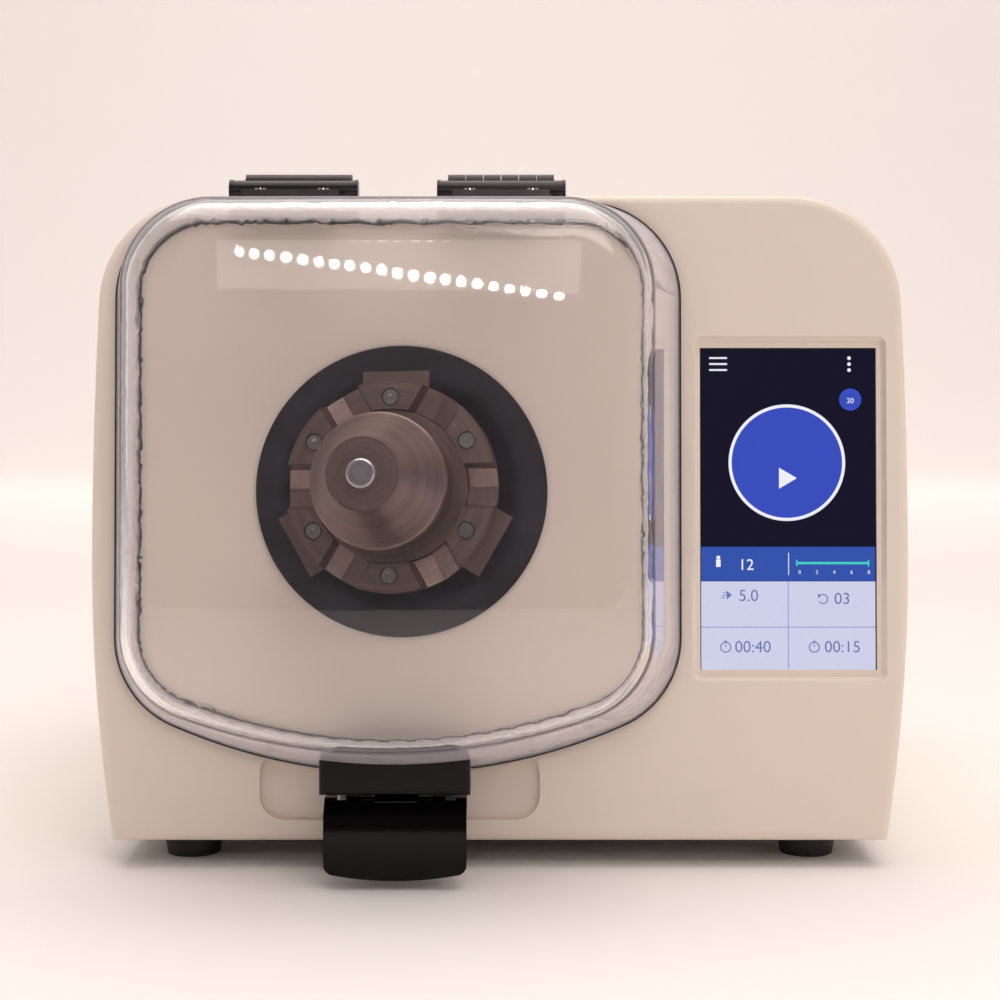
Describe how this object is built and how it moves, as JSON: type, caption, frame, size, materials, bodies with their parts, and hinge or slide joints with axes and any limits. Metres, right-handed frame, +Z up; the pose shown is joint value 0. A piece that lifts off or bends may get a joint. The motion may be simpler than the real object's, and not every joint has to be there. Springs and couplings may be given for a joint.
{
  "type": "bead mill homogenizer",
  "caption": "Bench-top bead mill homogenizer with a clear hinged lid over a clamped, nutating tube carriage, a latch below, a display beside it and a fan and mains inlet behind.",
  "frame": {"origin": "on the table, under the middle of the body and lid", "axes": "+Z up, -Y towards the user at the front, +X to the user's right"},
  "size_m": [0.397, 0.6331, 0.3373],
  "materials": {
    "cream": "satin, finely grained moulding",
    "clear": "clear, polished",
    "seal": "matt",
    "boot": "satin",
    "glass": "polished, bonded to the display",
    "module": "matt",
    "board": "solder mask",
    "steel": "turned",
    "bright_steel": "bright zinc",
    "aluminium": "machined",
    "anodised": "dark anodised, satin",
    "black_metal": "black, satin",
    "motor": "black enamel",
    "sheet": "grey powder coat",
    "black_gloss": "polished",
    "black_plastic": "fine grain",
    "foot_rubber": "matt",
    "cord": "matt flexible cord"
  },
  "bodies": {
    "housing": {"housing_shell": "cream", "display_glass": "glass", "display_module": "module", "control_board": "board", "board_standoffs": "aluminium", "drive_boot": "boot", "boot_retainer": "aluminium", "bearing_housing": "aluminium", "shaft_bearings": "steel", "drive_frame": "aluminium", "motor_body": "motor", "hinge_leaf_fixed_left": "black_metal", "hinge_leaf_fixed_right": "black_metal", "hinge_pin_left": "steel", "hinge_pin_right": "steel", "hinge_leaf_screws": "black_metal", "magnet_holder": "steel", "latch_magnets": "bright_steel", "holder_screws": "bright_steel", "lid_switch": "black_plastic", "base_plate": "sheet", "rubber_feet": "foot_rubber", "rear_panel": "sheet", "rear_screws": "bright_steel", "fan_frame": "black_plastic", "fan_guard": "bright_steel", "mains_inlet": "black_plastic", "switch_frame": "black_plastic", "power_supply": "sheet", "motor_drive": "aluminium", "mains_connector": "cord", "power_cord": "cord", "power_cord_coil": "cord", "power_cord_tail": "cord", "mains_plug": "cord"},
    "lid": {"lid_dome": "clear", "lid_seal": "seal", "hinge_leaf_moving_left": "black_metal", "hinge_leaf_moving_right": "black_metal", "hinge_caps": "black_metal", "hinge_foot_screws": "bright_steel", "latch_block": "black_gloss", "latch_pin": "steel"},
    "latch": {"latch_lever": "black_gloss"},
    "shaft": {"wobble_shaft": "steel", "counterweight": "steel", "shaft_coupling": "aluminium", "motor_shaft": "steel"},
    "carriage": {"carriage_hub": "anodised", "hub_bearings": "steel", "tab_disc": "anodised", "tube_ring": "anodised", "ring_screws": "bright_steel", "carriage_stud": "steel"},
    "clamp": {"pressure_plate": "anodised"},
    "knob": {"clamp_knob": "anodised"},
    "rocker": {"switch_rocker": "black_plastic"},
    "fan": {"fan_rotor": "black_plastic"}
  },
  "joints": [
    {"name": "lid_hinge", "type": "hinge", "parent": "housing", "child": "lid", "pos_m": [-0.0492, -0.10749, 0.3319], "axis": [-1, 0, 0], "range_deg": [0, 100]},
    {"name": "latch_pivot", "type": "hinge", "parent": "lid", "child": "latch", "pos_m": [-0.0484, -0.17627, 0.03719], "axis": [-1, 0, 0], "range_deg": [0, 28], "stiffness_Nm_per_rad": 0.15, "springref_deg": -11.46},
    {"name": "shaft_spin", "type": "hinge", "parent": "housing", "child": "shaft", "pos_m": [-0.0474, -0.13531, 0.18172], "axis": [0, -0.9972, 0.075], "continuous": true},
    {"name": "carriage_turn", "type": "hinge", "parent": "shaft", "child": "carriage", "pos_m": [-0.0474, -0.13531, 0.18172], "axis": [-0.1472, -0.9797, 0.1363], "continuous": true},
    {"name": "clamp_slide", "type": "slide", "parent": "carriage", "child": "clamp", "axis": [-0.1472, -0.9797, 0.1363], "range_m": [0, 0.006]},
    {"name": "knob_spin", "type": "hinge", "parent": "clamp", "child": "knob", "pos_m": [-0.0474, -0.13531, 0.18172], "axis": [-0.1472, -0.9797, 0.1363], "range_deg": [0, 720]},
    {"name": "power_rocker", "type": "hinge", "parent": "housing", "child": "rocker", "pos_m": [0.095, 0.2458, 0.105], "axis": [0, 0, -1], "range_deg": [0, 20]},
    {"name": "fan_spin", "type": "hinge", "parent": "housing", "child": "fan", "pos_m": [-0.06, 0.24, 0.195], "axis": [0, 1, 0], "continuous": true}
  ],
  "couplings": [
    {"joint": "carriage_turn", "follows": "shaft_spin", "ratio": -1},
    {"joint": "clamp_slide", "follows": "knob_spin", "m_per_rad": 0.00047746}
  ]
}
